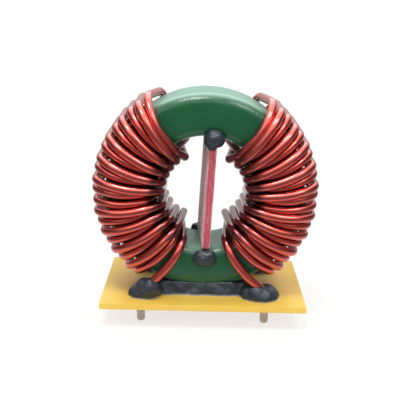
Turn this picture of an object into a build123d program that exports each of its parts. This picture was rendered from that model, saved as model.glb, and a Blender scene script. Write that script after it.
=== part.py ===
"""Common-mode toroidal inductor standing on edge on a small glass-epoxy base board.

Two windings of enamelled wire sit on the two halves of a coated ferrite ring. A fibre divider
crosses the bore between them, adhesive holds the ring, the divider and the wire ends in place,
and the four tinned wire ends below the board are the pins.

Millimetres. +Z is up, the ring's axis lies along Y, and -Y is the front. The origin is the middle
of the pin pattern, level with the pin tips.
"""

import os
from math import cos, pi, radians, sin

from build123d import *

# Coated ferrite ring
core_outer_radius = 25.0
core_bore_radius = 14.4
core_depth = 18.0
core_edge_radius = 3.0

# Enamelled wire and how tightly it lies
wire_diameter = 2.0
wire_clearance = 0.1
outer_stand_off = 0.9
over_outer_lift = 0.8
over_inner_lift = 2.15
layer_step = 2.3
outer_bend_radius = 4.2
inner_bend_radius = 2.4

# Slots round the ring, counted down from the top, and their angles off the top in degrees
slot_count = 20
under_slots = (20, 18, 16, 14, 12, 11, 9, 7, 5, 3, 1)
over_slots = (2, 4, 6, 8, 10, 13, 15, 17, 19)
middle_slots = (11, 12)
under_shift_angles = (-0.3, 0.4)
left_slot_angles = (31.7, 141.0)
right_slot_angles = (35.4, 139.4)
bore_lag_angle = 2.8
middle_spread_angle = 1.3
lead_bore_angle = 156.0
rear_lead_bore_angle = 151.5

# The last turn of the first layer, which leans back over the ring and starts the second layer
top_turn_rise = 0.9
top_turn_bend_radius = 5.2
top_turn_lean_angle = 7.0
top_turn_bore_lean_angle = 12.0
layer_change_depth = 5.2
layer_change_back_angle = 4.0

# Base board and the four lead holes
board_length = 51.5
board_width = 32.2
board_thickness = 1.6
board_corner_radius = 0.6
lead_spacing_x = 31.5
lead_spacing_y = 22.0
hole_clearance = 0.15

# Tinned ends, which stand out below the board
pin_length = 5.0
tin_thickness = 0.05
lead_knee_height = 1.6
lead_lean = 0.06

# Adhesive between the ring and the board
core_gap = 1.4
bead_from_x, bead_to_x = -11.6, 12.6
bead_foot_half_width = 10.9
bead_top_half_width = 8.7
bead_height = 3.4
mound_foot_radius = 4.4
mound_height = 4.6
mound_inset_x = 0.8
mound_inset_y = 1.7

# Divider plate across the bore
divider_thickness = 2.0
divider_setback = 0.2
divider_end_gap = 0.12
divider_offset_x = 0.45
divider_lean_angle = 2.6
divider_twist_angle = 3.2

# Adhesive dabs at the plate's four corners: radius, length across the plate, slip past its end
front_top_dab = (2.55, 5.3, 0.0)
front_bottom_dab = (2.3, 6.2, 1.6)
rear_top_dab = (2.2, 4.9, 0.0)
rear_bottom_dab = (2.1, 5.2, 0.4)
dab_proud = 0.2

# Places that follow from the sizes above
wire_radius = wire_diameter / 2
board_bottom = pin_length
board_top = board_bottom + board_thickness
core_height = board_top + core_gap + core_outer_radius
lead_x = lead_spacing_x / 2
lead_y = lead_spacing_y / 2
under_bore_radius = core_bore_radius - wire_clearance - wire_radius
over_bore_radius = under_bore_radius - layer_step
outer_run_radius = core_outer_radius + outer_stand_off + wire_radius
under_face_y = core_depth / 2 + wire_clearance + wire_radius
over_inner_y = under_face_y + over_inner_lift
over_outer_y = under_face_y + over_outer_lift
hole_radius = wire_radius + hole_clearance
lead_overlap = 0.5
divider_depth = core_depth - 2 * divider_setback

os.makedirs("parts", exist_ok=True)


def ring_point(side, radius, angle, y):
    """A point at an angle off the ring's top; side is -1 for the left half, 1 for the right."""
    turned = radians(angle)
    return (side * radius * sin(turned), y, core_height + radius * cos(turned))


def slot_angle(slot, first, last):
    """Where a slot's wire crosses the ring's outside."""
    angle = first + (last - first) * (slot - 1) / (slot_count - 1)
    if slot in under_slots and slot not in (1, slot_count):
        angle += under_shift_angles[0 if slot <= middle_slots[0] else 1]
    return angle


def bore_angle(slot, first, last):
    """Where a slot's wire crosses the bore's edge; the second layer settles between the first."""
    own = slot_angle(slot, first, last) + bore_lag_angle
    if slot in over_slots:
        midway = (bore_angle(slot - 1, first, last) + bore_angle(slot + 1, first, last)) / 2
        return (own + midway) / 2
    spread = {middle_slots[0]: -middle_spread_angle, middle_slots[1]: middle_spread_angle}
    return own + spread.get(slot, 0)


def winding_route(side, first, last):
    """Corners of one winding's wire, each with the radius of its bend.

    The wire comes up from the front pin, fills every second slot against the ring on its way
    up, and comes back down over those turns in the slots left between them, to the rear pin.
    """

    def outer_corner(slot, face):
        lifted = over_outer_y if slot in over_slots else under_face_y
        rise = top_turn_rise if slot == 1 and face < 0 else 0
        lean = top_turn_lean_angle if slot == 1 and face > 0 else 0
        angle = slot_angle(slot, first, last) - lean
        bend = top_turn_bend_radius if slot == 1 else outer_bend_radius
        return ring_point(side, outer_run_radius + rise, angle, face * lifted), bend

    def bore_corner(slot, face):
        over = slot in over_slots
        radius = over_bore_radius if over else under_bore_radius
        lean = top_turn_bore_lean_angle if slot == 1 and face > 0 else 0
        angle = bore_angle(slot, first, last) - lean
        y = over_inner_y if over else under_face_y
        return ring_point(side, radius, angle, face * y), inner_bend_radius

    # Each lead leans in by a hair, and starts inside its pin so that it can be cut level with it
    knee = board_top + lead_knee_height
    knee_x = lead_x - lead_lean
    end_x = lead_x + lead_lean * lead_overlap / (knee - board_bottom)
    end = board_bottom - lead_overlap
    route = [((side * end_x, -lead_y, end), 0)]
    route += [((side * knee_x, -lead_y, knee), outer_bend_radius)]
    route += [(ring_point(side, under_bore_radius, lead_bore_angle, -under_face_y), inner_bend_radius)]
    for slot in under_slots + over_slots:
        route += [bore_corner(slot, 1), outer_corner(slot, 1)]
        route += [outer_corner(slot, -1), bore_corner(slot, -1)]
        if slot == 1:
            angle = bore_angle(1, first, last) - layer_change_back_angle
            change = ring_point(side, over_bore_radius, angle, -layer_change_depth)
            route += [(change, inner_bend_radius)]
    route += [(ring_point(side, over_bore_radius, rear_lead_bore_angle, over_inner_y), inner_bend_radius)]
    route += [((side * knee_x, lead_y, knee), outer_bend_radius)]
    route += [((side * end_x, lead_y, end), 0)]
    return route


def wind(side, first, last):
    """The swept wire of one winding, checked against its section times its length."""
    route = winding_route(side, first, last)
    with BuildPart() as wire:
        with BuildLine() as path:
            FilletPolyline(*[place for place, _ in route], radius=[bend for _, bend in route[1:-1]])
        with BuildSketch(Plane(origin=path.line @ 0, z_dir=path.line % 0)):
            Circle(wire_radius)
        sweep(path=path.line)
    length = sum(edge.length for edge in path.edges())
    section = pi * wire_radius**2
    print(f"wire {length:.0f} mm long, volume {wire.part.volume:.0f} of {section * length:.0f}")
    with wire:
        split(bisect_by=Plane.XY.offset(board_bottom), keep=Keep.TOP)
    return wire.part


def capsule(radius, length):
    """A round-ended dab about the origin, along X, turned from half of a stadium outline."""
    straight = length / 2 - radius
    with BuildPart() as dab:
        with BuildSketch(Plane.XZ):
            with BuildLine():
                Line((-length / 2, 0), (length / 2, 0))
                RadiusArc((-length / 2, 0), (-straight, radius), radius)
                Line((-straight, radius), (straight, radius))
                RadiusArc((straight, radius), (length / 2, 0), radius)
            make_face()
        revolve(axis=Axis.X)
    return dab.part


# Coated ferrite ring, rounded on its four edges
with BuildPart() as toroid_core:
    with BuildSketch(Plane.XZ.offset(-core_depth / 2)):
        with Locations((0, core_height)):
            Circle(core_outer_radius)
            Circle(core_bore_radius, mode=Mode.SUBTRACT)
    extrude(amount=core_depth)
    fillet(toroid_core.edges().filter_by(GeomType.CIRCLE), radius=core_edge_radius)

# The two windings
left_winding = wind(-1, *left_slot_angles)
right_winding = wind(1, *right_slot_angles)

# Base board with its four lead holes
with BuildPart() as base_plate:
    with BuildSketch(Plane.XY.offset(board_bottom)):
        RectangleRounded(board_length, board_width, board_corner_radius)
        with GridLocations(lead_spacing_x, lead_spacing_y, 2, 2):
            Circle(hole_radius, mode=Mode.SUBTRACT)
    extrude(amount=board_thickness)

# Divider plate, cut square and glued in slightly out of true
divider_height = 2 * (core_bore_radius - divider_end_gap)
divider_plane = Plane(
    origin=(divider_offset_x, 0, core_height),
    z_dir=Vector(0, 0, 1).rotate(Axis.Y, divider_lean_angle),
    x_dir=Vector(1, 0, 0).rotate(Axis.Z, divider_twist_angle).rotate(Axis.Y, divider_lean_angle),
)
with BuildPart() as divider:
    with BuildSketch(divider_plane.offset(-divider_height / 2)):
        Rectangle(divider_thickness, divider_depth)
    extrude(amount=divider_height)

# Adhesive dabs, each moulded to the ring and the plate's end
dabs = {}
for name, (radius, length, slip), face, end in (
    ("front_top_dab", front_top_dab, -1, 1),
    ("front_bottom_dab", front_bottom_dab, -1, -1),
    ("rear_top_dab", rear_top_dab, 1, 1),
    ("rear_bottom_dab", rear_bottom_dab, 1, -1),
):
    plate_corner = (0, face * (divider_depth / 2 + dab_proud), end * (core_bore_radius + slip))
    centre = divider_plane.from_local_coords(plate_corner)
    with BuildPart() as dab:
        add(capsule(radius, length).moved(Location(centre)))
        add(toroid_core.part, mode=Mode.SUBTRACT)
        add(divider.part, mode=Mode.SUBTRACT)
    dabs[name] = dab

# Adhesive on the board: a bead under the ring and a mound round each wire end
with BuildPart() as base_adhesive:
    with BuildSketch(Plane.YZ.offset(bead_from_x)):
        with BuildLine():
            Polyline(
                (-bead_foot_half_width, board_top),
                (bead_foot_half_width, board_top),
                (bead_top_half_width, board_top + bead_height),
                (-bead_top_half_width, board_top + bead_height),
                close=True,
            )
        make_face()
    extrude(amount=bead_to_x - bead_from_x)
    mound_sphere_radius = (mound_foot_radius**2 + mound_height**2) / (2 * mound_height)
    with Locations((0, 0, board_top + mound_height - mound_sphere_radius)):
        with GridLocations(
            lead_spacing_x - 2 * mound_inset_x, lead_spacing_y - 2 * mound_inset_y, 2, 2
        ):
            Sphere(mound_sphere_radius)
    split(bisect_by=Plane.XY.offset(board_top), keep=Keep.TOP)
    add(toroid_core.part, mode=Mode.SUBTRACT)
    add(left_winding, mode=Mode.SUBTRACT)
    add(right_winding, mode=Mode.SUBTRACT)

# Tinned ends of the wires, with rounded tips
tinned_ends = {}
for side, side_name in ((-1, "left"), (1, "right")):
    for face, face_name in ((-1, "front"), (1, "rear")):
        with BuildPart() as tinned_end:
            with BuildSketch(Plane.XY):
                with Locations((side * lead_x, face * lead_y)):
                    Circle(wire_radius + tin_thickness)
            extrude(amount=pin_length)
            fillet(tinned_end.edges().group_by(Axis.Z)[0], radius=0.7 * wire_radius)
        tinned_ends[f"{face_name}_{side_name}_pin"] = tinned_end

# Finished pieces
finished = {
    "toroid_core": toroid_core.part,
    "left_winding": left_winding,
    "right_winding": right_winding,
    "base_plate": base_plate.part,
    "divider": divider.part,
    "base_adhesive": base_adhesive.part,
}
finished |= {name: dab.part for name, dab in dabs.items()}
finished |= {name: tinned_end.part for name, tinned_end in tinned_ends.items()}
for name, piece in finished.items():
    piece.label = name
    export_step(piece, f"parts/{name}.step")
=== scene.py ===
"""Common-mode toroidal inductor on its base board, dressed for a studio picture.

A coated ferrite ring stands on edge with two windings of enamelled wire, a fibre divider across
its bore, adhesive under it and round the wire ends, and tinned pins below the board.
Metres. +Z is up, the ring's axis lies along Y, and -Y is the front.
"""

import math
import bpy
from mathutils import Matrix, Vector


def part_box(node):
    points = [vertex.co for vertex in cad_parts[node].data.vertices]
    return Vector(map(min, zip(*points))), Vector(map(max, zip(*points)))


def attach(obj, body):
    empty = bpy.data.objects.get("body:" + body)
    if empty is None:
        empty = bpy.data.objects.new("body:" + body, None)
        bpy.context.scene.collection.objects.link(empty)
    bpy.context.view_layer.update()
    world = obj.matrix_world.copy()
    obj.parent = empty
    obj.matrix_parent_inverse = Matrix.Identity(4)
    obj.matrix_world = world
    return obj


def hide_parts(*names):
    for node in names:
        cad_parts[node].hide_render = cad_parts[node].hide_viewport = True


bl_info = {
    "name": "Toroidal Inductor",
    "version": (1, 0, 0),
    "blender": (4, 5, 0),
    "location": "3D View > Sidebar > Inductor",
    "description": "Builds a wound toroidal inductor on its base board",
    "category": "Add Mesh",
}

from types import SimpleNamespace

import bmesh
import bpy
from bpy.props import FloatProperty, FloatVectorProperty, IntProperty, PointerProperty
from mathutils import Matrix, Vector

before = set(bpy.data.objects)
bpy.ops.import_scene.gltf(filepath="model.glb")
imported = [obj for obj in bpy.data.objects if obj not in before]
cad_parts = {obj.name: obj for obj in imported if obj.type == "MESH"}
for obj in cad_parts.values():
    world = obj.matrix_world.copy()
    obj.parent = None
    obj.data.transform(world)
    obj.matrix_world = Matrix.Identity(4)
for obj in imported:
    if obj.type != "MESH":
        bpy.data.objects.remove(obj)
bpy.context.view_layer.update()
MM = 0.001

CORE_LOW, CORE_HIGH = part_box("toroid_core")
BOARD_LOW, BOARD_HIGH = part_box("base_plate")
CORE_RADIUS = (CORE_HIGH.x - CORE_LOW.x) / 2
CORE_DEPTH = CORE_HIGH.y - CORE_LOW.y
CORE_CENTRE = (CORE_LOW + CORE_HIGH) / 2
BOARD_TOP = BOARD_HIGH.z
PIN_LOW, PIN_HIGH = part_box("front_right_pin")
PIN_AXIS = (PIN_LOW + PIN_HIGH) / 2


def linear(hex_colour):
    """An sRGB hex colour as linear red, green, blue and full alpha."""
    channels = [int(hex_colour[i : i + 2], 16) / 255 for i in (1, 3, 5)]
    return [c / 12.92 if c <= 0.04045 else ((c + 0.055) / 1.055) ** 2.4 for c in channels] + [1.0]


def length(name, description, millimetres):
    """A length property, given in millimetres."""
    return FloatProperty(
        name=name,
        description=description,
        default=millimetres * MM,
        min=0,
        precision=5,
        subtype="DISTANCE",
        unit="LENGTH",
    )


def angle(name, description, degrees):
    """An angle property, given in degrees."""
    return FloatProperty(
        name=name, description=description, default=math.radians(degrees), subtype="ANGLE"
    )


def colour(name, description, hex_colour):
    """A colour property, given as an sRGB hex value."""
    return FloatVectorProperty(
        name=name,
        description=description,
        default=linear(hex_colour),
        size=4,
        min=0,
        max=1,
        subtype="COLOR",
    )


def number(name, description, value):
    """A property without a unit."""
    return FloatProperty(name=name, description=description, default=value)


class CoreSettings(bpy.types.PropertyGroup):
    """Sizes and colours of the coated ferrite ring."""

    bore_radius: length("Bore radius", "Radius of the ring's hole", 14.4)
    edge_radius: length("Edge radius", "Rounding of the ring's four edges", 3.0)
    steps: IntProperty(name="Steps", description="Sections round the ring", default=288)
    coat: colour("Coat", "Green epoxy coat", "#074d2b")
    coat_thin: colour("Thin coat", "Coat where it runs thin", "#0f5c35")
    # Painted shade in the gaps between the turns
    shade: colour("Shade", "Coat in the gaps between the turns", "#0a0c0a")
    # Also the colour of the painted light where the coat faces up
    haze_and_top_light: colour("Haze", "Soft haze of the coat at a flat angle", "#bff2dc")


class WindingSettings(bpy.types.PropertyGroup):
    """Sizes and colours of the two windings."""

    wire_diameter: length("Wire diameter", "Diameter over the enamel", 2.14)
    wire_clearance: length("Clearance", "Gap between wire and ring", 0.1)
    outer_stand_off: length("Outer stand-off", "Slack of the turns round the ring's outside", 1.35)
    over_outer_lift: length("Outer lift", "How far the second layer stands out outside", 0.95)
    over_inner_lift: length("Inner lift", "How far the second layer stands out at the bore", 2.15)
    layer_step: length("Layer step", "Distance between the layers in the bore", 2.3)
    outer_bend: length("Outer bend", "Bend radius at the ring's outer edge", 5.7)
    inner_bend: length("Inner bend", "Bend radius of the first layer at the bore's edge", 4.0)
    over_bend: length("Over bend", "Bend radius of the second layer at the bore's edge", 5.2)
    change_bend: length("Change bend", "Bend radius where the wire changes layer", 2.4)
    middle_spread: angle("Middle spread", "How far the two middle turns part in the bore", 1.3)
    top_turn_rise: length("Top turn rise", "How far the turn at the top stands up in front", 1.3)
    top_turn_drop: length("Top turn drop", "How much closer that turn lies at the rear", 1.5)
    top_turn_bend: length("Top turn bend", "Front bend radius of the turn at the top", 7.0)
    top_turn_rear_bend: length("Top turn rear bend", "Rear bend radius of that turn", 3.8)
    top_turn_inward: length("Top turn inward", "How far that turn lies inward at the rear", 0.9)
    rear_settle: length("Rear settle", "How far the lower outer turns settle at the rear", 0.5)
    layer_change_inward: length("Change inward", "Stand-off where the wire changes layer", 0.8)
    layer_change_depth: length("Change depth", "Depth in the bore where it changes layer", 5.2)
    lead_knee: length("Lead knee", "Height above the board where a lead turns down", 1.6)
    bow_out: number("Bow out", "Outward bow of the runs on the faces", 0.16)
    bow_round: number("Bow round", "Bow of those runs away from the top", 0.18)
    enamel: colour("Enamel", "Red-brown enamel over copper", "#e26258")
    enamel_deep: colour("Deep enamel", "Enamel where it lies thick", "#d2544a")
    # Painted shade on the turns inside the bore
    painted_bore_shade: colour("Bore enamel", "Enamel of the turns inside the bore", "#4c1216")
    # Painted shade in the gaps between turns
    enamel_shade: colour("Shaded enamel", "Enamel in the gaps between turns", "#300a09")


class BoardSettings(bpy.types.PropertyGroup):
    """Sizes and colours of the base board."""

    corner_radius: length("Corner radius", "Rounding of the board's corners", 0.6)
    edge_break: length("Edge break", "Worn edge of the sawn board", 0.12)
    hole_clearance: length("Hole clearance", "Gap round each lead", 0.15)
    laminate: colour("Laminate", "Yellow glass-epoxy laminate", "#f8d35e")
    laminate_edge: colour("Sawn edge", "Sawn edge of the laminate", "#efc044")


class DividerSettings(bpy.types.PropertyGroup):
    """Sizes and colours of the fibre divider."""

    thickness: length("Thickness", "Thickness of the fibre sheet", 2.0)
    depth: length("Depth", "Depth of the divider along the bore", 17.6)
    end_gap: length("End gap", "Gap between the divider's ends and the bore", 0.12)
    offset_x: length("Offset", "How far the divider stands right of the middle", 0.45)
    lean: angle("Lean", "Lean of the divider to the right", 2.6)
    twist: angle("Twist", "Turn of the divider about its height", 4.4)
    fibre: colour("Fibre", "Dyed pressed fibre, cut edge", "#aa2837")
    fibre_pulled: colour("Pulled fibre", "Paler fibres along the cut edge", "#c44a58")
    # The faces' paler colours are partly the sheet's own and partly painted light from the side
    face: colour("Face", "Paler face of the fibre sheet", "#e08a95")
    face_fibres_and_light: colour("Pulled face", "White fibres on the face of the sheet", "#ffdfe2")


class AdhesiveSettings(bpy.types.PropertyGroup):
    """Sizes and colours of the adhesive."""

    bead_left: length("Bead left", "How far the bead reaches left of the middle", 11.6)
    bead_right: length("Bead right", "How far the bead reaches right of the middle", 12.6)
    bead_foot: length("Bead foot", "Half width of the bead on the board", 10.9)
    bead_top: length("Bead top", "Half width of the bead at its top", 8.7)
    bead_height: length("Bead height", "Height of the bead above the board", 3.4)
    grain: length("Grain", "Size of the remeshed faces", 0.28)
    slate: colour("Adhesive", "Dark slate adhesive", "#20282f")
    slate_pale: colour("Pale adhesive", "Dusty skin of the adhesive", "#323c46")
    # Painted glint along the adhesive's foot
    foot: colour("Foot", "Thin skin where the adhesive meets the board", "#8f959b")


class PinSettings(bpy.types.PropertyGroup):
    """Sizes and colours of the tinned wire ends."""

    tip_radius: length("Tip radius", "Rounding of the pin's tip", 0.7)
    tin: colour("Tin", "Dull tin over copper", "#c8baab")
    tin_dark: colour("Oxidised tin", "Darker oxidised tin", "#9e8f80")


class StageSettings(bpy.types.PropertyGroup):
    """Camera, lamps and floor."""

    lens: number("Lens", "Focal length in mm on a 36 mm sensor", 65.5)
    tilt: angle("Tilt", "How far the camera looks down", 16.29)
    roll: angle("Roll", "Turn of the camera about its own axis", 1.26)
    floor: colour("Floor", "White paper and backdrop", "#ffffff")
    room: number("Room", "Strength of the even light from all round", 0.66)
    dark: number("Dark", "What gloss sees of the unlit room in front", 0.26)
    ceiling: number("Ceiling", "What gloss sees of the lit ceiling", 1.7)
    backdrop: number("Backdrop", "What gloss sees of the backdrop", 0.6)
    paper_front: length("Paper front", "How far the lit paper reaches in front", 36.0)
    paper_side: length("Paper side", "How far the lit paper reaches to the sides", 60.0)
    shadow_share: number("Shadow", "How much of the shadow the floor shows", 0.3)


def settings():
    """The property groups of the current scene."""
    return bpy.context.scene.inductor


def deselect():
    """Leaves nothing selected."""
    bpy.ops.object.select_all(action="DESELECT")


def start(primitive, **options):
    """A new primitive as the only selected object."""
    deselect()
    primitive(**options)
    return bpy.context.object


def apply_place():
    """Puts the active object's place into its mesh."""
    bpy.ops.object.transform_apply(location=True, rotation=True, scale=True)


def edit(action):
    """Opens the active object's mesh, with everything or nothing selected."""
    bpy.ops.object.mode_set(mode="EDIT")
    bpy.ops.mesh.select_all(action=action)


def pick_faces(piece, up):
    """Selects the faces that look up, for 1, or down, for -1, in an open mesh."""
    mesh = bmesh.from_edit_mesh(piece.data)
    for face in mesh.faces:
        face.select_set(up * face.normal.z > 0.9)
    bmesh.update_edit_mesh(piece.data)


def modify(piece, kind, **options):
    """Adds a modifier to the piece and applies it."""
    modifier = piece.modifiers.new(kind.title(), kind)
    for name, value in options.items():
        setattr(modifier, name, value)
    bpy.context.view_layer.objects.active = piece
    bpy.ops.object.modifier_apply(modifier=modifier.name)


def relief(name, kind, size):
    """A noise texture for displacement, with its feature size."""
    texture = bpy.data.textures.new(name, kind)
    texture.noise_scale = size
    return texture


def hand_over(piece, name, material, slot, *nodes):
    """Names a finished piece, gives it its finish and lets it stand for its CAD nodes."""
    piece.name = name
    piece.data.name = name
    piece.data.materials.clear()
    piece.data.materials.append(material)
    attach(piece, "root")
    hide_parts(*nodes)


def new_material(name):
    """An empty node material and its node tree."""
    material = bpy.data.materials.new(name)
    material.use_nodes = True
    tree = material.node_tree
    tree.nodes.clear()
    return material, tree


def add(tree, kind, sockets=None, **options):
    """Adds a shader node. Sockets, by name or number, take a value or another node's output.

    A Mix of colours has its factor at 0, its colours at 6 and 7 and its result at 2.
    """
    node = tree.nodes.new(f"ShaderNode{kind}")
    for name, value in options.items():
        setattr(node, name, value)
    for key, value in (sockets or {}).items():
        if isinstance(value, bpy.types.NodeSocket):
            tree.links.new(value, node.inputs[key])
        else:
            node.inputs[key].default_value = value
    return node


def in_crevices(tree, open_colour, dark_colour, reach, open_share):
    """A colour with painted shade in crevices narrower than the reach, where less than a share is
    open.
    """
    crevice = add(tree, "AmbientOcclusion", {"Distance": reach}, samples=6)
    openness = add(
        tree, "MapRange", {"Value": crevice.outputs["AO"], "From Min": 0.08, "From Max": open_share}
    )
    mix = add(
        tree,
        "Mix",
        {0: openness.outputs["Result"], 6: dark_colour, 7: open_colour},
        data_type="RGBA",
    )
    return mix.outputs[2]


def green_epoxy_coat():
    """Sprayed epoxy on ferrite: satin gloss, orange peel, and a coat that thins here and there."""
    material, tree = new_material("green_epoxy_coat")
    core = settings().core
    coordinates = add(tree, "TexCoord")
    place = coordinates.outputs["Object"]
    # Thin patches about 6 mm across, orange peel of about 0.7 mm and grain of about 0.25 mm on it
    drift = add(tree, "TexNoise", {"Vector": place, "Scale": 180.0, "Detail": 3.0})
    peel = add(tree, "TexNoise", {"Vector": place, "Scale": 1400.0, "Detail": 2.0})
    grain = add(tree, "TexNoise", {"Vector": place, "Scale": 4200.0, "Detail": 2.0})
    coat = add(
        tree, "Mix", {0: drift.outputs[0], 6: core.coat, 7: core.coat_thin}, data_type="RGBA"
    )
    # Painted light: the coat is paler where it faces up, standing in for light from above
    normal = add(tree, "SeparateXYZ", {0: coordinates.outputs["Normal"]})
    upward = add(
        tree,
        "MapRange",
        {"Value": normal.outputs["Z"], "From Min": 0.6, "From Max": 0.95, "To Max": 0.35},
        interpolation_type="SMOOTHSTEP",
    )
    painted_top_light = add(
        tree,
        "Mix",
        {0: upward.outputs["Result"], 6: coat.outputs[2], 7: core.haze_and_top_light},
        data_type="RGBA",
    )
    # Painted shade between the turns, which lie within about 3 mm of each other
    base = in_crevices(tree, painted_top_light.outputs[2], core.shade, 3 * MM, 0.5)
    low = add(tree, "Bump", {"Height": peel.outputs[0], "Strength": 0.7, "Distance": 0.08 * MM})
    high = add(
        tree,
        "Bump",
        {
            "Height": grain.outputs[0],
            "Strength": 0.35,
            "Distance": 0.03 * MM,
            "Normal": low.outputs[0],
        },
    )
    shader = add(
        tree,
        "BsdfPrincipled",
        {
            "Base Color": base,
            "Normal": high.outputs[0],
            "Roughness": 0.22,
            "IOR": 1.5,
            "Sheen Weight": 1.0,
            "Sheen Roughness": 0.4,
            "Sheen Tint": core.haze_and_top_light,
        },
    )
    add(tree, "OutputMaterial", {"Surface": shader.outputs[0]})
    return material


def wire_enamel():
    """Modified polyurethane enamel on copper wire: clear red-brown over bright metal, glossy."""
    material, tree = new_material("wire_enamel")
    wire = settings().winding
    place = add(tree, "TexCoord").outputs["Object"]
    # The enamel's depth drifts over about 4 mm, and the drawn copper under it is uneven over 1 mm
    drift = add(tree, "TexNoise", {"Vector": place, "Scale": 260.0, "Detail": 3.0})
    draw = add(tree, "TexNoise", {"Vector": place, "Scale": 900.0, "Detail": 2.0})
    clear = add(
        tree, "Mix", {0: drift.outputs[0], 6: wire.enamel_deep, 7: wire.enamel}, data_type="RGBA"
    )
    # Painted shade: where turns lie side by side, less than about 2 mm apart, the enamel darkens to
    # black-brown
    gaps = in_crevices(tree, clear.outputs[2], wire.enamel_shade, 2 * MM, 0.35)
    # Painted shade: in the bore the turns face each other, so the enamel darkens from 15.2 to 13 mm
    # off the axis
    centred = add(tree, "VectorMath", {0: place, 1: CORE_CENTRE}, operation="SUBTRACT")
    flat = add(tree, "VectorMath", {0: centred.outputs[0], 1: (1, 0, 1)}, operation="MULTIPLY")
    off_axis = add(tree, "VectorMath", {0: flat.outputs[0]}, operation="LENGTH")
    bore = add(
        tree,
        "MapRange",
        {
            "Value": off_axis.outputs["Value"],
            "From Min": 15.2 * MM,
            "From Max": 13.0 * MM,
            "To Max": 0.8,
        },
        interpolation_type="SMOOTHSTEP",
    )
    base = add(
        tree, "Mix", {0: bore.outputs["Result"], 6: gaps, 7: wire.painted_bore_shade}, data_type="RGBA"
    )
    bump = add(tree, "Bump", {"Height": draw.outputs[0], "Strength": 0.06, "Distance": 0.05 * MM})
    shader = add(
        tree,
        "BsdfPrincipled",
        {
            "Base Color": base.outputs[2],
            "Normal": bump.outputs[0],
            "Metallic": 0.95,
            "Roughness": 0.27,
            "Coat Weight": 0.8,
            "Coat Roughness": 0.06,
        },
    )
    add(tree, "OutputMaterial", {"Surface": shader.outputs[0]})
    return material


def glass_epoxy_laminate():
    """Pressed glass-epoxy sheet: even yellow, satin, with the weave just felt under the resin."""
    material, tree = new_material("glass_epoxy_laminate")
    board = settings().board
    place = add(tree, "TexCoord").outputs["Object"]
    # The yellow drifts over about 11 mm, and the glass cloth has threads about 0.5 mm apart
    drift = add(tree, "TexNoise", {"Vector": place, "Scale": 90.0, "Detail": 3.0})
    weave = add(tree, "TexChecker", {"Vector": place, "Scale": 2000.0})
    base = add(
        tree,
        "Mix",
        {0: drift.outputs[0], 6: board.laminate, 7: board.laminate_edge},
        data_type="RGBA",
    )
    bump = add(tree, "Bump", {"Height": weave.outputs[1], "Strength": 0.04, "Distance": 0.02 * MM})
    shader = add(
        tree,
        "BsdfPrincipled",
        {"Base Color": base.outputs[2], "Normal": bump.outputs[0], "Roughness": 0.42, "IOR": 1.5},
    )
    add(tree, "OutputMaterial", {"Surface": shader.outputs[0]})
    return material


def pressed_fibre():
    """Dyed pressed fibre sheet: matt, with pulled fibres along its cut sides."""
    material, tree = new_material("pressed_fibre")
    divider = settings().divider
    coordinates = add(tree, "TexCoord")
    place = coordinates.outputs["Object"]
    # Specks about 0.3 mm across on the cut edge, and streaks about 0.4 x 4 mm on the faces
    speck = add(tree, "TexNoise", {"Vector": place, "Scale": 3200.0, "Detail": 4.0})
    stretched = add(tree, "Mapping", {"Vector": place, "Scale": (1.0, 1.0, 0.1)})
    streak = add(tree, "TexNoise", {"Vector": stretched.outputs[0], "Scale": 2400.0, "Detail": 4.0})
    sharp = add(tree, "MapRange", {"Value": streak.outputs[0], "From Min": 0.42, "From Max": 0.62})
    edge = add(
        tree,
        "Mix",
        {0: speck.outputs[0], 6: divider.fibre, 7: divider.fibre_pulled},
        data_type="RGBA",
    )
    face = add(
        tree,
        "Mix",
        {0: sharp.outputs["Result"], 6: divider.face, 7: divider.face_fibres_and_light},
        data_type="RGBA",
    )
    # The sheet's faces look sideways, its cut edges to the front and rear; the faces' paler colours
    # are partly the sheet's own and partly painted light
    normal = add(tree, "SeparateXYZ", {0: coordinates.outputs["Normal"]})
    side = add(tree, "Math", {0: normal.outputs["X"]}, operation="ABSOLUTE")
    base = add(
        tree, "Mix", {0: side.outputs[0], 6: edge.outputs[2], 7: face.outputs[2]}, data_type="RGBA"
    )
    bump = add(tree, "Bump", {"Height": streak.outputs[0], "Strength": 0.7, "Distance": 0.2 * MM})
    shader = add(
        tree,
        "BsdfPrincipled",
        {
            "Base Color": base.outputs[2],
            "Normal": bump.outputs[0],
            "Roughness": 0.75,
            "Sheen Weight": 0.3,
        },
    )
    add(tree, "OutputMaterial", {"Surface": shader.outputs[0]})
    return material


def slate_adhesive():
    """Cured one-part adhesive: dark slate, a rubbery skin with soft gloss, a painted glint along
    its foot.
    """
    material, tree = new_material("slate_adhesive")
    glue = settings().adhesive
    place = add(tree, "TexCoord").outputs["Object"]
    # Dusty patches about 2.5 mm across, and a skin that wrinkles over about 0.7 mm
    drift = add(tree, "TexNoise", {"Vector": place, "Scale": 420.0, "Detail": 4.0})
    skin = add(tree, "TexNoise", {"Vector": place, "Scale": 1500.0, "Detail": 3.0})
    tone = add(
        tree, "Mix", {0: drift.outputs[0], 6: glue.slate, 7: glue.slate_pale}, data_type="RGBA"
    )
    # A pale line about 0.4 mm high where the adhesive meets the board is a painted glint along its
    # thin rim
    height = add(tree, "SeparateXYZ", {0: place}).outputs["Z"]
    foot = add(
        tree,
        "MapRange",
        {"Value": height, "From Min": BOARD_TOP + 0.45 * MM, "From Max": BOARD_TOP + 0.15 * MM},
    )
    base = add(
        tree, "Mix", {0: foot.outputs["Result"], 6: tone.outputs[2], 7: glue.foot}, data_type="RGBA"
    )
    bump = add(tree, "Bump", {"Height": skin.outputs[0], "Strength": 0.3, "Distance": 0.1 * MM})
    shader = add(
        tree,
        "BsdfPrincipled",
        {
            "Base Color": base.outputs[2],
            "Normal": bump.outputs[0],
            "Roughness": 0.42,
            "IOR": 1.45,
            "Coat Weight": 0.2,
            "Coat Roughness": 0.2,
        },
    )
    add(tree, "OutputMaterial", {"Surface": shader.outputs[0]})
    return material


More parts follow.
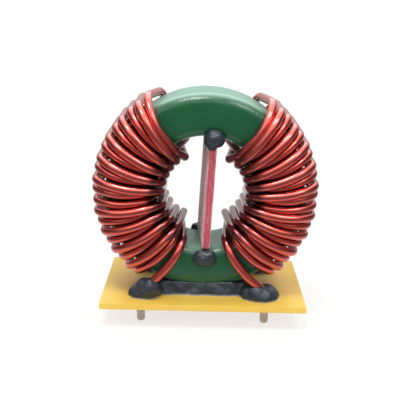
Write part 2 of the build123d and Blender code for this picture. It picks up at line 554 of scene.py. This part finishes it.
def dipped_tin():
    """Wire end dipped in tin: dull warm grey metal with slight runs."""
    material, tree = new_material("dipped_tin")
    pin = settings().pin
    place = add(tree, "TexCoord").outputs["Object"]
    # Runs and oxide patches about 1 mm across
    drift = add(tree, "TexNoise", {"Vector": place, "Scale": 900.0, "Detail": 3.0})
    base = add(tree, "Mix", {0: drift.outputs[0], 6: pin.tin_dark, 7: pin.tin}, data_type="RGBA")
    bump = add(tree, "Bump", {"Height": drift.outputs[0], "Strength": 0.25, "Distance": 0.1 * MM})
    shader = add(
        tree,
        "BsdfPrincipled",
        {
            "Base Color": base.outputs[2],
            "Normal": bump.outputs[0],
            "Metallic": 0.9,
            "Roughness": 0.42,
        },
    )
    add(tree, "OutputMaterial", {"Surface": shader.outputs[0]})
    return material


class INDUCTOR_OT_core(bpy.types.Operator):
    """Turn the coated ferrite ring from its rounded section."""

    bl_idname = "inductor.core"
    bl_label = "Ferrite ring"

    def execute(self, context):
        core = settings().core
        width = CORE_RADIUS - core.bore_radius
        middle = (CORE_RADIUS + core.bore_radius) / 2
        ring = start(bpy.ops.mesh.primitive_plane_add, size=1, location=(middle, 0, CORE_CENTRE.z))
        ring.scale = (width, CORE_DEPTH, 1)
        apply_place()
        edit("SELECT")
        bpy.ops.mesh.bevel(offset=core.edge_radius, segments=10, affect="VERTICES")
        bpy.ops.mesh.delete(type="ONLY_FACE")
        bpy.ops.mesh.select_all(action="SELECT")
        bpy.ops.mesh.spin(
            steps=core.steps, angle=math.tau, center=(0, 0, CORE_CENTRE.z), axis=(0, 1, 0)
        )
        bpy.ops.mesh.select_all(action="SELECT")
        bpy.ops.mesh.remove_doubles(threshold=0.01 * MM)
        bpy.ops.mesh.normals_make_consistent(inside=False)
        bpy.ops.object.mode_set(mode="OBJECT")
        bpy.ops.object.shade_smooth()
        hand_over(ring, "ferrite_ring", green_epoxy_coat(), "coated_ferrite", "toroid_core")
        return {"FINISHED"}


# Slots round each half of the ring, counted down from its top. The wire fills the under slots on
# its way up and the over slots on its way down.
SLOT_COUNT = 20
UNDER_SLOTS = (20, 18, 16, 14, 12, 11, 9, 7, 5, 3, 1)
OVER_SLOTS = (2, 4, 6, 8, 10, 13, 15, 17, 19)
MIDDLE_SLOTS = (11, 12)

# All these angles are in degrees off the ring's top: the first and the last slot of each side,
# and how far the under slots are shifted above and below the middle
LEFT_SLOTS = (31.7, 141.0)
RIGHT_SLOTS = (35.4, 139.4)
UNDER_SHIFTS = (-0.3, 0.4)
# How much further round a turn crosses the bore's edge, at some of the slots of each side
LEFT_LAGS = {1: 2.6, 4: 2.4, 8: 2.0, 10: 1.3, 12: 1.3, 18: 2.0, 19: 4.2, 20: 7.4}
RIGHT_LAGS = {1: 2.6, 4: 4.6, 8: 5.6, 10: 5.0, 11: 4.4, 12: 4.4, 14: 3.7, 18: 4.2, 19: 5.0, 20: 8.0}
# How much further round the last under turn crosses it at the rear
LAST_REAR_LAG = 2.4
# Where the front and the rear lead cross the bore's edge
LEAD_BORE, REAR_LEAD_BORE = 157.2, 151.5
# How far the turn at the top leans back: outside in front, outside at the rear, in the bore
TOP_TURN_FRONT_LEAN, TOP_TURN_LEAN, TOP_TURN_BORE_LEAN = -1.5, 4.5, 13.0
# How far back the wire lies in the bore where it changes layer
LAYER_CHANGE_BACK = 3.2

# Share of the other runs' bow that the turn at the top has
TOP_TURN_BOW = 0.4
# Runs that are shorter than this, or end this near the board, stay straight
SHORT_RUN = 4 * MM
NEAR_BOARD = 2 * MM
# A run lies on one of the ring's faces if it slopes along the ring's axis by less than this share
FACE_SLOPE = 0.3


def ring_point(side, radius, degrees, y):
    """A point at an angle off the ring's top; side is -1 for the left half, 1 for the right."""
    turned = math.radians(degrees)
    return Vector((side * radius * math.sin(turned), y, CORE_CENTRE.z + radius * math.cos(turned)))


def slot_angle(slot, first, last):
    """Where a slot's wire crosses the ring's outside, in degrees off its top."""
    degrees = first + (last - first) * (slot - 1) / (SLOT_COUNT - 1)
    if slot in UNDER_SLOTS and slot not in (1, SLOT_COUNT):
        degrees += UNDER_SHIFTS[0 if slot <= MIDDLE_SLOTS[0] else 1]
    return degrees


def lag(slot, lags):
    """How much further round a slot's wire crosses the bore's edge, between the given slots."""
    below = max(given for given in lags if given <= slot)
    above = min(given for given in lags if given >= slot)
    share = (slot - below) / max(above - below, 1)
    return lags[below] + (lags[above] - lags[below]) * share


def bore_angle(slot, first, last, lags):
    """Where a slot's wire crosses the bore's edge; the second layer settles between the first."""
    own = slot_angle(slot, first, last) + lag(slot, lags)
    if slot in OVER_SLOTS:
        beside = bore_angle(slot - 1, first, last, lags) + bore_angle(slot + 1, first, last, lags)
        return (own + beside / 2) / 2
    spread = math.degrees(settings().winding.middle_spread)
    return own + {MIDDLE_SLOTS[0]: -spread, MIDDLE_SLOTS[1]: spread}.get(slot, 0)


def winding_corners(side, first, last, lags):
    """Corners of one winding's wire, each with its bend radius.

    The wire comes up from the front pin, fills every second slot against the ring on its way up,
    and comes back down in the slots left between them, to the rear pin.
    """
    wire = settings().winding
    radius = wire.wire_diameter / 2
    under_radius = settings().core.bore_radius - wire.wire_clearance - radius
    over_radius = under_radius - wire.layer_step
    outer_radius = CORE_RADIUS + wire.outer_stand_off + radius
    under_y = CORE_DEPTH / 2 + wire.wire_clearance + radius

    def outer_corner(slot, face):
        stands_out = slot in OVER_SLOTS or (slot == 1 and face < 0)
        y = under_y + (wire.over_outer_lift if stands_out else 0)
        rise, lean, bend = 0, 0, wire.outer_bend
        if slot == 1 and face < 0:
            rise, lean, bend = wire.top_turn_rise, TOP_TURN_FRONT_LEAN, wire.top_turn_bend
        elif slot == 1:
            rise, lean, bend = -wire.top_turn_drop, TOP_TURN_LEAN, wire.top_turn_rear_bend
        degrees = slot_angle(slot, first, last) - lean
        return ring_point(side, outer_radius + rise, degrees, face * y), bend

    def bore_corner(slot, face):
        over = slot in OVER_SLOTS
        y = under_y + (wire.over_inner_lift if over else 0)
        bend = wire.over_bend if over else wire.inner_bend
        radius = over_radius if over else under_radius
        if face > 0 and over and slot > MIDDLE_SLOTS[1]:
            radius += wire.rear_settle
            y -= wire.rear_settle
        elif face > 0 and slot == 1:
            radius -= wire.top_turn_inward
        lean = {1: TOP_TURN_BORE_LEAN, SLOT_COUNT: -LAST_REAR_LAG}.get(slot, 0) if face > 0 else 0
        degrees = bore_angle(slot, first, last, lags) - lean
        return ring_point(side, radius, degrees, face * y), bend

    knee = BOARD_TOP + wire.lead_knee
    lead_x, lead_y = side * PIN_AXIS.x, -PIN_AXIS.y
    corners = [
        (Vector((lead_x, -lead_y, BOARD_LOW.z)), 0),
        (Vector((lead_x, -lead_y, knee)), wire.outer_bend),
        (ring_point(side, under_radius, LEAD_BORE, -under_y), wire.inner_bend),
    ]
    for slot in UNDER_SLOTS + OVER_SLOTS:
        corners += [bore_corner(slot, 1), outer_corner(slot, 1)]
        corners += [outer_corner(slot, -1), bore_corner(slot, -1)]
        if slot == 1:
            change = ring_point(
                side,
                over_radius - wire.layer_change_inward,
                bore_angle(1, first, last, lags) - LAYER_CHANGE_BACK,
                -wire.layer_change_depth,
            )
            corners.append((change, wire.change_bend))
    rear = ring_point(side, over_radius, REAR_LEAD_BORE, under_y + wire.over_inner_lift)
    corners += [
        (rear, wire.over_bend),
        (Vector((lead_x, lead_y, knee)), wire.outer_bend),
        (Vector((lead_x, lead_y, BOARD_LOW.z)), 0),
    ]
    return corners


def knot(place, along, back=0, ahead=0, trim=0):
    """A point of the wire: place, direction, reach back and ahead, distance from its corner."""
    return SimpleNamespace(place=place, along=along, back=back, ahead=ahead, trim=trim)


def wire_knots(corners):
    """Knots of the wire's smooth line, two to a bend."""
    places = [place for place, _ in corners]
    knots = [knot(places[0], (places[1] - places[0]).normalized())]
    for n, (place, bend) in enumerate(corners[1:-1], 1):
        back = (places[n - 1] - place).normalized()
        ahead = (places[n + 1] - place).normalized()
        turn = math.pi - back.angle(ahead)
        trim = bend * math.tan(turn / 2)
        # The handle's length that makes a Bezier arc follow a circle
        reach = bend * 4 / 3 * math.tan(turn / 4)
        knots.append(knot(place + back * trim, -back, ahead=reach, trim=trim))
        knots.append(knot(place + ahead * trim, ahead, back=reach, trim=trim))
    knots.append(knot(places[-1], (places[-1] - places[-2]).normalized()))
    for here, there in zip(knots, knots[1:]):
        if not here.ahead:
            here.ahead = there.back = (there.place - here.place).length / 3
    return knots


def bow_runs(knots):
    """Tilts the ends of the runs on the ring's faces, so that they bow out and round."""
    wire = settings().winding
    for here, there in zip(knots[1:], knots[2:]):
        across = there.place - here.place
        face = (here.place.y + there.place.y) / 2
        on_face = abs(across.y) <= FACE_SLOPE * across.length and abs(face) >= CORE_DEPTH / 2
        lowest = min(here.place.z, there.place.z)
        if not on_face or across.length < SHORT_RUN or lowest < BOARD_TOP + NEAR_BOARD:
            continue
        middle = (here.place + there.place) / 2 - CORE_CENTRE
        outward = Vector((0, math.copysign(wire.bow_out, face), 0))
        # Away from the top: square to the run, in the face, on the side that points down the ring
        down = Vector((across.z, 0, -across.x)).normalized()
        round_ring = Vector((math.copysign(1, middle.x) * middle.z, 0, -abs(middle.x)))
        if down.dot(round_ring) < 0:
            down = -down
        # Only the wide bends of the turn at the top start further off than the others
        at_top = max(here.trim, there.trim) > wire.over_bend
        bow = wire.bow_round * (TOP_TURN_BOW if at_top else 1)
        outward += down * bow
        here.along = (here.along + outward).normalized()
        there.along = (there.along - outward).normalized()
        # The bends beside the run follow its tilt, so that the line stays free of waves
        here.place += down * bow * here.trim
        there.place += down * bow * there.trim


class INDUCTOR_OT_windings(bpy.types.Operator):
    """Wind the two halves of the ring with enamelled wire."""

    bl_idname = "inductor.windings"
    bl_label = "Windings"

    def execute(self, context):
        wire = settings().winding
        enamel = wire_enamel()
        for side, name, slots, lags in (
            (-1, "left", LEFT_SLOTS, LEFT_LAGS),
            (1, "right", RIGHT_SLOTS, RIGHT_LAGS),
        ):
            knots = wire_knots(winding_corners(side, *slots, lags))
            bow_runs(knots)
            turns = start(bpy.ops.curve.primitive_bezier_curve_add, location=(0, 0, 0))
            line = turns.data
            line.dimensions = "3D"
            line.resolution_u = 11
            line.bevel_depth = wire.wire_diameter / 2
            line.bevel_resolution = 9
            line.use_fill_caps = True
            spline = line.splines[0]
            spline.bezier_points.add(len(knots) - len(spline.bezier_points))
            for point, on_wire in zip(spline.bezier_points, knots):
                point.handle_left_type = point.handle_right_type = "FREE"
                point.co = on_wire.place
                point.handle_left = on_wire.place - on_wire.along * on_wire.back
                point.handle_right = on_wire.place + on_wire.along * on_wire.ahead
                point.radius = 1
            bpy.ops.object.convert(target="MESH")
            edit("SELECT")
            bpy.ops.mesh.remove_doubles(threshold=0.001 * MM)
            bpy.ops.mesh.normals_make_consistent(inside=False)
            bpy.ops.object.mode_set(mode="OBJECT")
            bpy.ops.object.shade_smooth()
            hand_over(
                bpy.context.object, f"{name}_coil", enamel, "enamelled_copper", f"{name}_winding"
            )
        return {"FINISHED"}


class INDUCTOR_OT_board(bpy.types.Operator):
    """Cut the base board and drill its lead holes."""

    bl_idname = "inductor.board"
    bl_label = "Base board"

    def execute(self, context):
        board = settings().board
        size = BOARD_HIGH - BOARD_LOW
        middle = (BOARD_LOW + BOARD_HIGH) / 2
        plate = start(bpy.ops.mesh.primitive_cube_add, size=1, location=middle, scale=size)
        apply_place()
        edit("DESELECT")
        mesh = bmesh.from_edit_mesh(plate.data)
        for edge in mesh.edges:
            along = edge.verts[1].co - edge.verts[0].co
            edge.select_set(abs(along.z) > 0.5 * along.length)
        mesh.select_flush_mode()
        bmesh.update_edit_mesh(plate.data)
        bpy.ops.mesh.bevel(offset=board.corner_radius, segments=6, affect="EDGES")
        bpy.ops.object.mode_set(mode="OBJECT")
        radius = settings().winding.wire_diameter / 2 + board.hole_clearance
        for x in (-PIN_AXIS.x, PIN_AXIS.x):
            for y in (-PIN_AXIS.y, PIN_AXIS.y):
                drill = start(
                    bpy.ops.mesh.primitive_cylinder_add,
                    vertices=48,
                    radius=radius,
                    depth=3 * size.z,
                    location=(x, y, BOARD_LOW.z),
                )
                apply_place()
                modify(plate, "BOOLEAN", object=drill, operation="DIFFERENCE", solver="EXACT")
                bpy.data.objects.remove(drill)
        modify(
            plate,
            "BEVEL",
            width=board.edge_break,
            segments=3,
            limit_method="ANGLE",
            angle_limit=math.radians(50),
        )
        deselect()
        plate.select_set(True)
        bpy.context.view_layer.objects.active = plate
        bpy.ops.object.shade_smooth_by_angle(angle=math.radians(35))
        laminate = glass_epoxy_laminate()
        hand_over(plate, "laminate_board", laminate, "glass_epoxy_board", "base_plate")
        return {"FINISHED"}


class INDUCTOR_OT_divider(bpy.types.Operator):
    """Saw the fibre divider and set it across the bore."""

    bl_idname = "inductor.divider"
    bl_label = "Fibre divider"

    def execute(self, context):
        divider = settings().divider
        height = 2 * (settings().core.bore_radius - divider.end_gap)
        plate = start(bpy.ops.mesh.primitive_cube_add, size=1)
        plate.scale = (divider.thickness, divider.depth, height)
        apply_place()
        # The cut sides are pulled up by about 0.1 mm, in tufts about 0.5 mm across
        modify(plate, "BEVEL", width=0.15 * MM, segments=2)
        modify(plate, "REMESH", mode="VOXEL", voxel_size=0.22 * MM)
        pull = relief("fibre_pull", "CLOUDS", 0.5 * MM)
        modify(plate, "DISPLACE", texture=pull, strength=0.22 * MM, mid_level=0.5)
        plate.matrix_world = (
            Matrix.Translation((divider.offset_x, 0, CORE_CENTRE.z))
            @ Matrix.Rotation(divider.lean, 4, "Y")
            @ Matrix.Rotation(divider.twist, 4, "Z")
        )
        apply_place()
        bpy.ops.object.shade_smooth()
        hand_over(plate, "fibre_plate", pressed_fibre(), "fibre_divider", "divider")
        return {"FINISHED"}


def melt(parts, grain, lump, lump_height, smooth):
    """Joins parts into one soft body: remeshed, smoothed and gently lumpy."""
    deselect()
    for part in parts:
        part.select_set(True)
    bpy.context.view_layer.objects.active = parts[0]
    if len(parts) > 1:
        bpy.ops.object.join()
    body = bpy.context.object
    modify(body, "REMESH", mode="VOXEL", voxel_size=grain)
    modify(body, "SMOOTH", factor=0.5, iterations=smooth)
    lumps = relief("adhesive_lumps", "CLOUDS", lump)
    modify(body, "DISPLACE", texture=lumps, strength=lump_height, mid_level=0.5)
    # Facets as a spatula leaves them, smaller and flatter than the lumps
    facets = relief("adhesive_facets", "VORONOI", 0.7 * lump)
    modify(body, "DISPLACE", texture=facets, strength=0.45 * lump_height, mid_level=0.4)
    modify(body, "SMOOTH", factor=0.5, iterations=2)
    return body


def ball(place, radii):
    """A stretched ball."""
    piece = start(bpy.ops.mesh.primitive_uv_sphere_add, segments=48, ring_count=24, radius=1)
    piece.scale = radii
    piece.location = place
    apply_place()
    return piece


# The lumps of a mound, in mm: how far inside its lead, how far behind it, how high, and three
# radii. The front left mound is the tall one.
TALL_MOUND = (
    (0.9, 1.7, 0.0, 4.1, 4.2, 3.7),
    (2.4, -0.5, 2.5, 2.4, 2.3, 2.9),
    (1.0, 0.2, 2.3, 2.5, 2.2, 2.8),
    (-1.2, 0.9, 0.7, 2.0, 2.0, 2.4),
    (3.4, 1.2, 1.2, 1.9, 2.4, 2.8),
    (0.8, -0.9, 0.1, 3.0, 1.6, 1.8),
)
LOW_MOUND = (
    (0.3, 1.6, 0.0, 4.2, 4.3, 2.9),
    (2.2, -0.3, 1.2, 2.5, 2.4, 2.5),
    (0.2, -0.5, 0.6, 2.8, 2.2, 2.4),
    (4.2, 1.0, 0.8, 2.2, 2.6, 2.4),
)


class INDUCTOR_OT_base_adhesive(bpy.types.Operator):
    """Lay the adhesive between ring and board and round the leads."""

    bl_idname = "inductor.base_adhesive"
    bl_label = "Base adhesive"

    def execute(self, context):
        glue = settings().adhesive
        # The bead starts inside the board, so that it meets the board all round when it is cut
        sunk = 1.5 * MM
        bead = start(bpy.ops.mesh.primitive_cube_add, size=2)
        half_x = (glue.bead_right + glue.bead_left) / 2
        middle_x = (glue.bead_right - glue.bead_left) / 2
        bead.scale = (half_x, glue.bead_foot, (glue.bead_height + sunk) / 2)
        bead.location = (middle_x, 0, BOARD_TOP + (glue.bead_height - sunk) / 2)
        apply_place()
        edit("DESELECT")
        pick_faces(bead, 1)
        bpy.ops.transform.resize(value=(1, glue.bead_top / glue.bead_foot, 1))
        bpy.ops.object.mode_set(mode="OBJECT")
        parts = [bead]
        for x in (-1, 1):
            for y in (-1, 1):
                mound = TALL_MOUND if x < 0 and y < 0 else LOW_MOUND
                for inward, back, up, *radii in mound:
                    place = (
                        x * (PIN_AXIS.x - inward * MM),
                        y * (-PIN_AXIS.y - back * MM),
                        BOARD_TOP + up * MM,
                    )
                    parts.append(ball(place, [radius * MM for radius in radii]))
        body = melt(parts, glue.grain, lump=3.5 * MM, lump_height=0.9 * MM, smooth=5)
        # It is cut just above its thin edge, then let down, so that its flat underside is hidden
        # in the board
        cut_above, let_down = 0.1 * MM, 0.2 * MM
        edit("SELECT")
        bpy.ops.mesh.bisect(
            plane_co=(0, 0, BOARD_TOP + cut_above),
            plane_no=(0, 0, 1),
            use_fill=True,
            clear_inner=True,
        )
        bpy.ops.object.mode_set(mode="OBJECT")
        body.location.z = -let_down
        apply_place()
        bpy.ops.object.shade_smooth_by_angle(angle=math.radians(60))
        hand_over(body, "board_adhesive", slate_adhesive(), "adhesive", "base_adhesive")
        return {"FINISHED"}


# The lumps of each dab: places from its middle in mm, and radii as shares of its half sizes
DAB_LUMPS = {
    "front_top_dab": (
        (0.35, -0.15, 0.95, 1.0, 0.92),
        (1.35, -0.1, 0.55, 0.85, 0.45),
        (-0.15, -1.6, 0.5, 0.8, 0.6),
        (-0.75, -0.5, 0.55, 0.85, 0.7),
    ),
    "front_bottom_dab": (
        (0.0, -0.6, 0.98, 1.0, 0.95),
        (-1.1, -0.2, 0.55, 0.9, 0.8),
        (1.1, -0.15, 0.55, 0.9, 0.8),
    ),
    "rear_top_dab": ((0, 0, 1, 1, 1),),
    "rear_bottom_dab": ((0, 0, 1, 1, 1), (-1.0, 0.2, 0.7, 0.9, 0.75)),
}


class INDUCTOR_OT_dabs(bpy.types.Operator):
    """Put a dab of adhesive at each corner of the divider."""

    bl_idname = "inductor.dabs"
    bl_label = "Adhesive dabs"

    def execute(self, context):
        glue = settings().adhesive
        slate = bpy.data.materials["slate_adhesive"]
        for node, lumps in DAB_LUMPS.items():
            low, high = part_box(node)
            middle, half = (low + high) / 2, (high - low) / 2
            parts = []
            for x, z, *shares in lumps:
                radii = [share * whole for share, whole in zip(shares, half)]
                parts.append(ball(middle + Vector((x, 0, z)) * MM, radii))
            body = melt(parts, 0.6 * glue.grain, lump=1.6 * MM, lump_height=0.45 * MM, smooth=3)
            bpy.ops.object.shade_smooth()
            hand_over(body, f"{node}_of_adhesive", slate, "adhesive", node)
        return {"FINISHED"}


class INDUCTOR_OT_pins(bpy.types.Operator):
    """Dip the four wire ends in tin."""

    bl_idname = "inductor.pins"
    bl_label = "Tinned pins"

    def execute(self, context):
        tin = dipped_tin()
        for node in ("front_left_pin", "front_right_pin", "rear_left_pin", "rear_right_pin"):
            low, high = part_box(node)
            pin = start(
                bpy.ops.mesh.primitive_cylinder_add,
                vertices=48,
                radius=(high.x - low.x) / 2,
                depth=high.z - low.z,
                location=(low + high) / 2,
            )
            apply_place()
            edit("DESELECT")
            pick_faces(pin, -1)
            bpy.ops.mesh.bevel(offset=settings().pin.tip_radius, segments=8, affect="EDGES")
            bpy.ops.object.mode_set(mode="OBJECT")
            bpy.ops.object.shade_smooth_by_angle(angle=math.radians(40))
            hand_over(pin, f"{node}_tinned", tin, "tinned_copper", node)
        return {"FINISHED"}


def soft_box(name, place, size, power):
    """A square lamp that faces the ring, with its size in metres and its power in watts."""
    deselect()
    bpy.ops.object.light_add(type="AREA", location=place)
    lamp = bpy.context.object
    lamp.name = name
    lamp.data.shape = "SQUARE"
    lamp.data.size = size
    lamp.data.energy = power
    lamp.rotation_euler = (CORE_CENTRE - lamp.location).to_track_quat("-Z", "Y").to_euler()


def white_paper():
    """White paper under the part: pure white to the camera, but for the part's own soft shadow.

    Gloss on the part sees lit paper close by and the dark room beyond its front edge.
    """
    stage = settings().stage
    material, tree = new_material("white_paper")
    seen = add(tree, "LightPath")
    place = add(tree, "TexCoord").outputs["Object"]
    plain = add(tree, "BsdfDiffuse", {"Color": stage.floor})
    glow = add(tree, "Emission", {"Color": stage.floor, "Strength": 1.0})
    # The shadow shows near the part, and fades to plain white from 45 to 130 mm off
    away = add(tree, "VectorMath", {0: place}, operation="LENGTH")
    fade = add(
        tree,
        "MapRange",
        {
            "Value": away.outputs["Value"],
            "From Min": 45 * MM,
            "From Max": 130 * MM,
            "To Min": 1 - stage.shadow_share,
            "To Max": 1.0,
        },
        interpolation_type="SMOOTHSTEP",
    )
    share = add(
        tree,
        "Math",
        {0: seen.outputs["Is Camera Ray"], 1: fade.outputs["Result"]},
        operation="MULTIPLY",
    )
    shown = add(tree, "MixShader", {0: share.outputs[0], 1: plain.outputs[0], 2: glow.outputs[0]})
    # What gloss sees: lit in the middle, dark to the sides and in front
    side = add(tree, "SeparateXYZ", {0: place})
    sideways = add(tree, "Math", {0: side.outputs["X"]}, operation="ABSOLUTE")
    middle = add(
        tree,
        "MapRange",
        {
            "Value": sideways.outputs[0],
            "From Min": stage.paper_side,
            "From Max": stage.paper_side + 30 * MM,
            "To Min": 0.85,
            "To Max": stage.dark,
        },
        interpolation_type="SMOOTHSTEP",
    )
    lit = add(
        tree,
        "MapRange",
        {
            "Value": side.outputs["Y"],
            "From Min": -stage.paper_front - 15 * MM,
            "From Max": -stage.paper_front,
            "To Min": stage.dark,
            "To Max": middle.outputs["Result"],
        },
        interpolation_type="SMOOTHSTEP",
    )
    mirrored = add(tree, "Emission", {"Color": stage.floor, "Strength": lit.outputs["Result"]})
    both = add(
        tree,
        "MixShader",
        {0: seen.outputs["Is Glossy Ray"], 1: shown.outputs[0], 2: mirrored.outputs[0]},
    )
    add(tree, "OutputMaterial", {"Surface": both.outputs[0]})
    return material


def studio_room():
    """Even light all round. Gloss sees a white backdrop and ceiling, and a dark room in front."""
    stage = settings().stage
    white = (1.0, 1.0, 1.0, 1.0)
    world = bpy.data.worlds.new("studio_room")
    world.use_nodes = True
    tree = world.node_tree
    tree.nodes.clear()
    seen = add(tree, "LightPath")
    room = add(tree, "Background", {"Color": (0.96, 0.98, 1.0, 1.0), "Strength": stage.room})
    plain = add(tree, "Background", {"Color": white, "Strength": 1.0})
    generated = add(tree, "TexCoord").outputs["Generated"]
    way = add(tree, "SeparateXYZ", {0: generated})
    # From the backdrop up to the ceiling
    high = add(
        tree,
        "MapRange",
        {
            "Value": way.outputs["Z"],
            "From Min": 0.3,
            "From Max": 0.6,
            "To Min": stage.backdrop,
            "To Max": stage.ceiling,
        },
        interpolation_type="SMOOTHSTEP",
    )
    # Dark to both sides
    sideways = add(tree, "Math", {0: way.outputs["X"]}, operation="ABSOLUTE")
    middle = add(
        tree,
        "MapRange",
        {
            "Value": sideways.outputs[0],
            "From Min": 0.5,
            "From Max": 0.85,
            "To Min": 1.0,
            "To Max": 0.12,
        },
        interpolation_type="SMOOTHSTEP",
    )
    panel = add(
        tree, "Math", {0: high.outputs["Result"], 1: middle.outputs["Result"]}, operation="MULTIPLY"
    )
    # Dark low down in front
    rear = add(tree, "Math", {0: way.outputs["Y"], 1: way.outputs["Z"]}, operation="ADD")
    lit = add(
        tree,
        "MapRange",
        {
            "Value": rear.outputs[0],
            "From Min": -0.55,
            "From Max": -0.15,
            "To Min": stage.dark,
            "To Max": panel.outputs[0],
        },
        interpolation_type="SMOOTHSTEP",
    )
    gloss = add(tree, "Background", {"Color": white, "Strength": lit.outputs["Result"]})
    first = add(
        tree,
        "MixShader",
        {0: seen.outputs["Is Camera Ray"], 1: room.outputs[0], 2: plain.outputs[0]},
    )
    both = add(
        tree,
        "MixShader",
        {0: seen.outputs["Is Glossy Ray"], 1: first.outputs[0], 2: gloss.outputs[0]},
    )
    add(tree, "OutputWorld", {"Surface": both.outputs[0]})
    return world


# Where the camera stands from the ring's centre, in mm
CAMERA_PLACE = Vector((-1.2614, -181.9225, 49.2794))


class INDUCTOR_OT_stage(bpy.types.Operator):
    """Set the floor, the lamps and the camera."""

    bl_idname = "inductor.stage"
    bl_label = "Stage"

    def execute(self, context):
        stage = settings().stage
        floor = start(bpy.ops.mesh.primitive_plane_add, size=12, location=(0, 0, 0))
        floor.name = "floor"
        floor.data.materials.append(white_paper())
        context.scene.world = studio_room()

        soft_box("key_lamp", (-0.06, -0.10, 0.42), 0.12, 0.7)
        soft_box("fill_lamp", (0.16, -0.16, 0.34), 0.10, 0.25)
        soft_box("back_lamp", (0.0, 0.30, 0.42), 0.45, 0.8)

        deselect()
        bpy.ops.object.camera_add()
        camera = bpy.context.object
        camera.name = "camera"
        camera.data.lens = stage.lens
        camera.data.clip_start = 0.005
        camera.matrix_world = (
            Matrix.Translation(CORE_CENTRE + CAMERA_PLACE * MM)
            @ Matrix.Rotation(math.pi / 2 - stage.tilt, 4, "X")
            @ Matrix.Rotation(stage.roll, 4, "Z")
        )
        context.scene.camera = camera
        context.scene.view_settings.view_transform = "Standard"
        return {"FINISHED"}


class InductorSettings(bpy.types.PropertyGroup):
    """All sizes and colours of the inductor."""

    core: PointerProperty(type=CoreSettings)
    winding: PointerProperty(type=WindingSettings)
    board: PointerProperty(type=BoardSettings)
    divider: PointerProperty(type=DividerSettings)
    adhesive: PointerProperty(type=AdhesiveSettings)
    pin: PointerProperty(type=PinSettings)
    stage: PointerProperty(type=StageSettings)


OPERATORS = (
    INDUCTOR_OT_core,
    INDUCTOR_OT_windings,
    INDUCTOR_OT_board,
    INDUCTOR_OT_divider,
    INDUCTOR_OT_base_adhesive,
    INDUCTOR_OT_dabs,
    INDUCTOR_OT_pins,
    INDUCTOR_OT_stage,
)


class INDUCTOR_PT_panel(bpy.types.Panel):
    """The sidebar panel that lists the pieces."""

    bl_label = "Inductor"
    bl_space_type = "VIEW_3D"
    bl_region_type = "UI"
    bl_category = "Inductor"

    def draw(self, context):
        for operator in OPERATORS:
            self.layout.operator(operator.bl_idname)


GROUPS = (
    CoreSettings,
    WindingSettings,
    BoardSettings,
    DividerSettings,
    AdhesiveSettings,
    PinSettings,
    StageSettings,
    InductorSettings,
)


def register():
    """Adds the settings, the operators and the panel to Blender."""
    for item in GROUPS + OPERATORS + (INDUCTOR_PT_panel,):
        bpy.utils.register_class(item)
    bpy.types.Scene.inductor = PointerProperty(type=InductorSettings)


def unregister():
    """Takes them out again."""
    del bpy.types.Scene.inductor
    for item in reversed(GROUPS + OPERATORS + (INDUCTOR_PT_panel,)):
        bpy.utils.unregister_class(item)


def main():
    """Builds every piece."""
    register()
    for piece in ("core", "windings", "board", "divider", "base_adhesive", "dabs", "pins", "stage"):
        getattr(bpy.ops.inductor, piece)()


if __name__ == "__main__":
    main()
